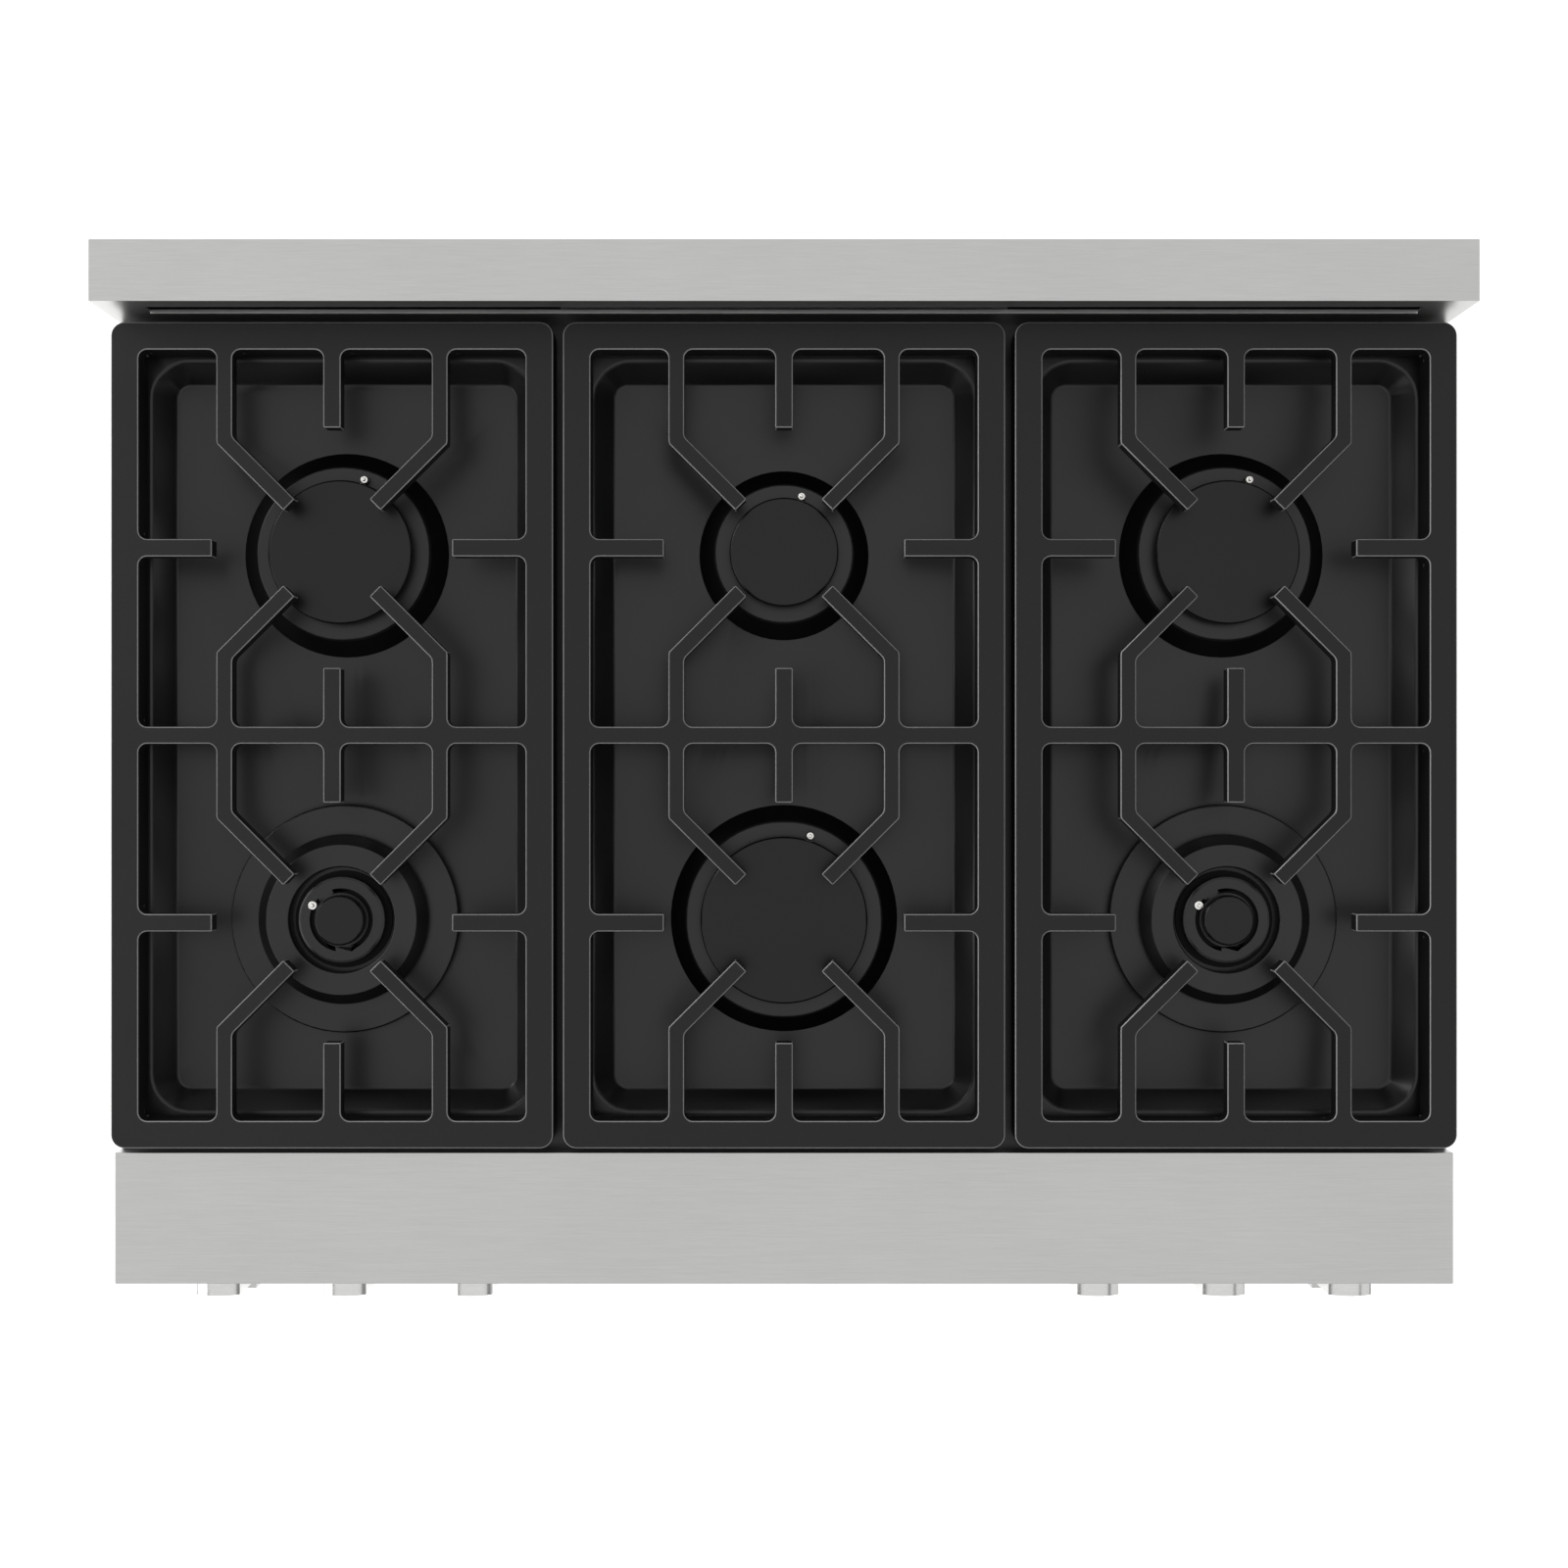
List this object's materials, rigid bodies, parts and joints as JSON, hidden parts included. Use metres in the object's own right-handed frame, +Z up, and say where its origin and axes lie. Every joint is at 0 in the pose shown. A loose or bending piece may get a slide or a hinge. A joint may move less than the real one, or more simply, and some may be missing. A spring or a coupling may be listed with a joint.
{
  "type": "freestanding gas range",
  "caption": "Freestanding gas range with a black cooktop, cast-iron grates, front knobs, a low backguard and an oven with a drop-down door.",
  "frame": {"origin": "on the floor, in the middle of the width and of the whole depth", "axes": "+Z up, +Y from the front to the back, +X to the right seen from the front"},
  "size_m": [0.911, 0.737, 0.9703],
  "materials": {
    "brushed_stainless": "satin",
    "galvanised_steel": "satin",
    "cooktop_enamel": "satin",
    "black_gloss_enamel": "gloss",
    "cast_iron_enamel": "satin",
    "burner_alloy": "satin",
    "rack_chrome": "gloss",
    "dark_glass": "gloss",
    "electrode_ceramic": "gloss",
    "mineral_wool": "matte",
    "gasket_rope": "matte",
    "black_screw": "satin",
    "knob_metal": "satin",
    "display_glass": "gloss"
  },
  "bodies": {
    "range_body": {"base_frame": "galvanised_steel", "side_panel_left": "brushed_stainless", "side_panel_right": "brushed_stainless", "rear_panel": "galvanised_steel", "front_frame": "cooktop_enamel", "kick_panel": "brushed_stainless", "oven_liner": "cooktop_enamel", "oven_insulation": "mineral_wool", "rack_guides": "rack_chrome", "door_gasket": "gasket_rope", "bake_burner": "burner_alloy", "broil_burner": "burner_alloy", "fan_cover": "cooktop_enamel", "fan_motor": "galvanised_steel", "oven_lights": "dark_glass", "flue_duct": "galvanised_steel", "cooktop_pan": "cooktop_enamel", "front_ledge": "brushed_stainless", "control_panel": "brushed_stainless", "touch_display": "display_glass", "gas_manifold": "burner_alloy", "burner_bases": "black_gloss_enamel", "burner_heads": "cooktop_enamel", "spark_electrodes": "electrode_ceramic", "backguard": "brushed_stainless", "backguard_screws": "black_screw"},
    "foot_front_left": {"foot_front_left": "brushed_stainless"},
    "foot_front_right": {"foot_front_right": "brushed_stainless"},
    "foot_rear_left": {"foot_rear_left": "brushed_stainless"},
    "foot_rear_right": {"foot_rear_right": "brushed_stainless"},
    "fan": {"convection_fan": "burner_alloy"},
    "burner_cap_rear_left": {"burner_cap_rear_left": "black_gloss_enamel"},
    "burner_cap_rear_middle": {"burner_cap_rear_middle": "black_gloss_enamel"},
    "burner_cap_rear_right": {"burner_cap_rear_right": "black_gloss_enamel"},
    "burner_cap_front_middle": {"burner_cap_front_middle": "black_gloss_enamel"},
    "ring_cap_left": {"ring_cap_left": "cooktop_enamel"},
    "ring_cap_right": {"ring_cap_right": "cooktop_enamel"},
    "inner_cap_left": {"inner_cap_left": "black_gloss_enamel"},
    "inner_cap_right": {"inner_cap_right": "black_gloss_enamel"},
    "grate_left": {"grate_left": "cast_iron_enamel"},
    "grate_middle": {"grate_middle": "cast_iron_enamel"},
    "grate_right": {"grate_right": "cast_iron_enamel"},
    "stem_1": {"valve_stem_1": "burner_alloy"},
    "knob_1": {"knob_1": "knob_metal"},
    "stem_2": {"valve_stem_2": "burner_alloy"},
    "knob_2": {"knob_2": "knob_metal"},
    "stem_3": {"valve_stem_3": "burner_alloy"},
    "knob_3": {"knob_3": "knob_metal"},
    "stem_4": {"valve_stem_4": "burner_alloy"},
    "knob_4": {"knob_4": "knob_metal"},
    "stem_5": {"valve_stem_5": "burner_alloy"},
    "knob_5": {"knob_5": "knob_metal"},
    "stem_6": {"valve_stem_6": "burner_alloy"},
    "knob_6": {"knob_6": "knob_metal"},
    "rack_lower": {"oven_rack_lower": "rack_chrome"},
    "rack_upper": {"oven_rack_upper": "rack_chrome"},
    "door": {"door_skin": "brushed_stainless", "door_liner": "cooktop_enamel", "door_glass": "dark_glass", "door_handle": "brushed_stainless"}
  },
  "joints": [
    {"name": "foot_front_left_level", "type": "slide", "parent": "range_body", "child": "foot_front_left", "axis": [0, 0, -1], "range_m": [0, 0.038]},
    {"name": "foot_front_right_level", "type": "slide", "parent": "range_body", "child": "foot_front_right", "axis": [0, 0, -1], "range_m": [0, 0.038]},
    {"name": "foot_rear_left_level", "type": "slide", "parent": "range_body", "child": "foot_rear_left", "axis": [0, 0, -1], "range_m": [0, 0.038]},
    {"name": "foot_rear_right_level", "type": "slide", "parent": "range_body", "child": "foot_rear_right", "axis": [0, 0, -1], "range_m": [0, 0.038]},
    {"name": "fan_spin", "type": "hinge", "parent": "range_body", "child": "fan", "pos_m": [0, 0.2, 0.464], "axis": [0, 1, 0], "continuous": true},
    {"name": "burner_cap_rear_left_lift", "type": "slide", "parent": "range_body", "child": "burner_cap_rear_left", "axis": [0, 0, 1], "range_m": [0, 0.009]},
    {"name": "burner_cap_rear_middle_lift", "type": "slide", "parent": "range_body", "child": "burner_cap_rear_middle", "axis": [0, 0, 1], "range_m": [0, 0.009]},
    {"name": "burner_cap_rear_right_lift", "type": "slide", "parent": "range_body", "child": "burner_cap_rear_right", "axis": [0, 0, 1], "range_m": [0, 0.009]},
    {"name": "burner_cap_front_middle_lift", "type": "slide", "parent": "range_body", "child": "burner_cap_front_middle", "axis": [0, 0, 1], "range_m": [0, 0.009]},
    {"name": "ring_cap_left_lift", "type": "slide", "parent": "range_body", "child": "ring_cap_left", "axis": [0, 0, 1], "range_m": [0, 0.009]},
    {"name": "ring_cap_right_lift", "type": "slide", "parent": "range_body", "child": "ring_cap_right", "axis": [0, 0, 1], "range_m": [0, 0.009]},
    {"name": "inner_cap_left_lift", "type": "slide", "parent": "range_body", "child": "inner_cap_left", "axis": [0, 0, 1], "range_m": [0, 0.04]},
    {"name": "inner_cap_right_lift", "type": "slide", "parent": "range_body", "child": "inner_cap_right", "axis": [0, 0, 1], "range_m": [0, 0.04]},
    {"name": "grate_left_lift", "type": "slide", "parent": "range_body", "child": "grate_left", "axis": [0, 0, 1], "range_m": [0, 0.15]},
    {"name": "grate_middle_lift", "type": "slide", "parent": "range_body", "child": "grate_middle", "axis": [0, 0, 1], "range_m": [0, 0.15]},
    {"name": "grate_right_lift", "type": "slide", "parent": "range_body", "child": "grate_right", "axis": [0, 0, 1], "range_m": [0, 0.15]},
    {"name": "knob_1_push", "type": "slide", "parent": "range_body", "child": "stem_1", "axis": [0, 1, 0], "range_m": [0, 0.004], "stiffness_N_per_m": 800, "springref_m": -0.003},
    {"name": "knob_1_turn", "type": "hinge", "parent": "stem_1", "child": "knob_1", "pos_m": [-0.3952, -0.33, 0.854], "axis": [0, -1, 0], "range_deg": [0, 270]},
    {"name": "knob_2_push", "type": "slide", "parent": "range_body", "child": "stem_2", "axis": [0, 1, 0], "range_m": [0, 0.004], "stiffness_N_per_m": 800, "springref_m": -0.003},
    {"name": "knob_2_turn", "type": "hinge", "parent": "stem_2", "child": "knob_2", "pos_m": [-0.3069, -0.33, 0.854], "axis": [0, -1, 0], "range_deg": [0, 270]},
    {"name": "knob_3_push", "type": "slide", "parent": "range_body", "child": "stem_3", "axis": [0, 1, 0], "range_m": [0, 0.004], "stiffness_N_per_m": 800, "springref_m": -0.003},
    {"name": "knob_3_turn", "type": "hinge", "parent": "stem_3", "child": "knob_3", "pos_m": [-0.2186, -0.33, 0.854], "axis": [0, -1, 0], "range_deg": [0, 270]},
    {"name": "knob_4_push", "type": "slide", "parent": "range_body", "child": "stem_4", "axis": [0, 1, 0], "range_m": [0, 0.004], "stiffness_N_per_m": 800, "springref_m": -0.003},
    {"name": "knob_4_turn", "type": "hinge", "parent": "stem_4", "child": "knob_4", "pos_m": [0.2186, -0.33, 0.854], "axis": [0, -1, 0], "range_deg": [0, 270]},
    {"name": "knob_5_push", "type": "slide", "parent": "range_body", "child": "stem_5", "axis": [0, 1, 0], "range_m": [0, 0.004], "stiffness_N_per_m": 800, "springref_m": -0.003},
    {"name": "knob_5_turn", "type": "hinge", "parent": "stem_5", "child": "knob_5", "pos_m": [0.3069, -0.33, 0.854], "axis": [0, -1, 0], "range_deg": [0, 270]},
    {"name": "knob_6_push", "type": "slide", "parent": "range_body", "child": "stem_6", "axis": [0, 1, 0], "range_m": [0, 0.004], "stiffness_N_per_m": 800, "springref_m": -0.003},
    {"name": "knob_6_turn", "type": "hinge", "parent": "stem_6", "child": "knob_6", "pos_m": [0.3952, -0.33, 0.854], "axis": [0, -1, 0], "range_deg": [0, 270]},
    {"name": "rack_lower_slide", "type": "slide", "parent": "range_body", "child": "rack_lower", "axis": [0, -1, 0], "range_m": [0, 0.026]},
    {"name": "rack_upper_slide", "type": "slide", "parent": "range_body", "child": "rack_upper", "axis": [0, -1, 0], "range_m": [0, 0.026]},
    {"name": "door_open", "type": "hinge", "parent": "range_body", "child": "door", "pos_m": [0, -0.2869, 0.162], "axis": [1, 0, 0], "range_deg": [0, 90], "stiffness_Nm_per_rad": 18, "springref_deg": -20.05}
  ]
}
